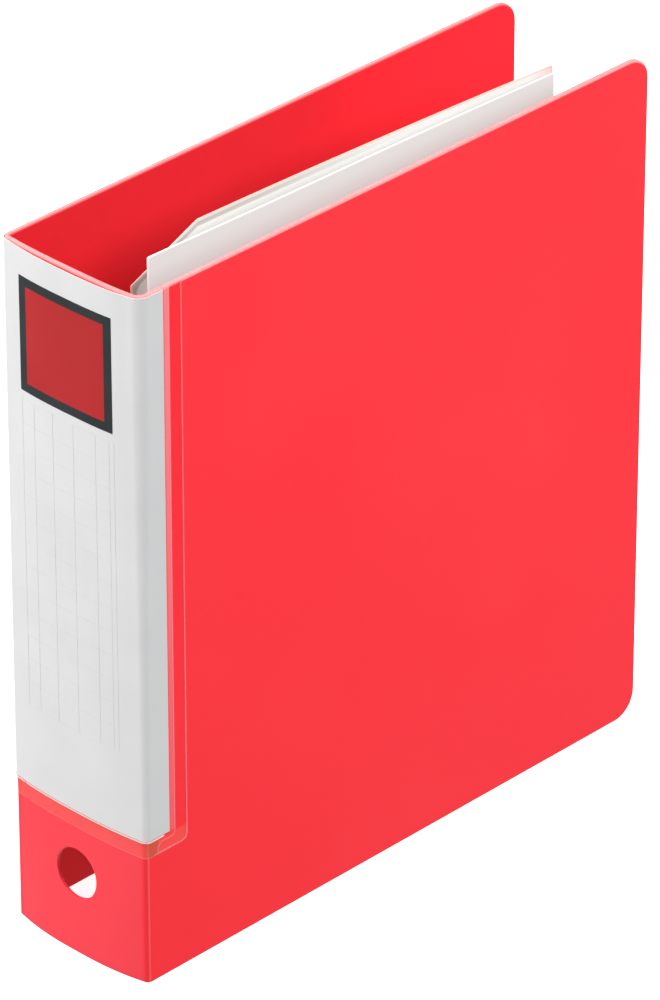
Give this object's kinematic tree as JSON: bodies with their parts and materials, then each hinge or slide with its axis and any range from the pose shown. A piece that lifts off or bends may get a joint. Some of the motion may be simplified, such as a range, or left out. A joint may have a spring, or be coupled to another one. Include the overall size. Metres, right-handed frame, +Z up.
{
  "type": "lever arch file",
  "caption": "Upright lever arch file: folded plastic cover with spine pocket and card, finger hole, lever-operated ring mechanism and loose leaves.",
  "frame": {"origin": "centre of the foot of the bounding box, on the surface the file stands on", "axes": "+Z up along the spine, -Y out of the spine, +X out of the front cover"},
  "size_m": [0.076, 0.287, 0.307],
  "materials": {
    "cover_plastic": "translucent red polypropylene sheet, fine satin",
    "pocket_film": "clear soft film",
    "card_stock": "uncoated white card",
    "plated_steel": "nickel-plated pressed steel and wire",
    "grip_plastic": "moulded black plastic",
    "roller_nylon": "natural nylon",
    "leaf_paper": "pale paper",
    "leaf_film": "frosted translucent film"
  },
  "bodies": {
    "back_cover": {"back_cover": "cover_plastic", "pocket_back_wing": "pocket_film", "base_plate": "plated_steel", "post_lower": "plated_steel", "post_upper": "plated_steel", "carrier_pin_lower": "plated_steel", "carrier_pin_upper": "plated_steel", "lever_pin": "plated_steel", "arch_spring": "plated_steel", "rivet_lower_spine_side": "plated_steel", "rivet_lower_fore_side": "plated_steel", "rivet_upper_spine_side": "plated_steel", "rivet_upper_fore_side": "plated_steel"},
    "spine": {"spine": "cover_plastic", "pocket_spine": "pocket_film"},
    "front_cover": {"front_cover": "cover_plastic", "pocket_front_wing": "pocket_film"},
    "label_card": {"card_spine": "card_stock"},
    "label_front_wing": {"card_front_wing": "card_stock"},
    "label_back_wing": {"card_back_wing": "card_stock"},
    "arches": {"arch_carrier": "plated_steel", "arch_lower": "plated_steel", "arch_upper": "plated_steel"},
    "lever": {"lever": "plated_steel", "lever_grip": "grip_plastic", "roller_pin": "plated_steel"},
    "roller": {"roller": "roller_nylon"},
    "paper_leaf": {"paper_leaf": "leaf_paper"},
    "lifter_leaf": {"lifter_leaf": "leaf_film"}
  },
  "joints": [
    {"name": "spine_hinge", "type": "hinge", "parent": "back_cover", "child": "spine", "pos_m": [-0.036, -0.1395, 0], "axis": [0, 0, -1], "range_deg": [0, 90]},
    {"name": "front_hinge", "type": "hinge", "parent": "spine", "child": "front_cover", "pos_m": [0.036, -0.1395, 0], "axis": [0, 0, -1], "range_deg": [0, 90]},
    {"name": "card_slide", "type": "slide", "parent": "spine", "child": "label_card", "axis": [0, 0, 1], "range_m": [0, 0.2]},
    {"name": "card_front_fold", "type": "hinge", "parent": "label_card", "child": "label_front_wing", "pos_m": [0.036, -0.1395, 0], "axis": [0, 0, -1], "range_deg": [0, 90]},
    {"name": "card_back_fold", "type": "hinge", "parent": "label_card", "child": "label_back_wing", "pos_m": [-0.036, -0.1395, 0], "axis": [0, 0, -1], "range_deg": [-90, 0]},
    {"name": "lever_lift", "type": "hinge", "parent": "back_cover", "child": "lever", "pos_m": [-0.02625, -0.12825, 0.1535], "axis": [0, 0, -1], "range_deg": [0, 85]},
    {"name": "arch_open", "type": "hinge", "parent": "back_cover", "child": "arches", "pos_m": [-0.02825, -0.12025, 0.1535], "axis": [0, 0, -1], "range_deg": [0, 20]},
    {"name": "roller_spin", "type": "hinge", "parent": "lever", "child": "roller", "pos_m": [-0.02325, -0.11425, 0.1535], "axis": [0, 0, 1], "continuous": true},
    {"name": "paper_leaf_slide", "type": "slide", "parent": "back_cover", "child": "paper_leaf", "axis": [1, 0, 0], "range_m": [-0.0035, 0.004]},
    {"name": "lifter_leaf_slide", "type": "slide", "parent": "back_cover", "child": "lifter_leaf", "axis": [1, 0, 0], "range_m": [-0.012, 0.0035]}
  ],
  "couplings": [
    {"joint": "arch_open", "follows": "lever_lift", "ratio": 0.23529},
    {"joint": "card_front_fold", "follows": "front_hinge", "ratio": 1},
    {"joint": "card_back_fold", "follows": "spine_hinge", "ratio": -1}
  ]
}
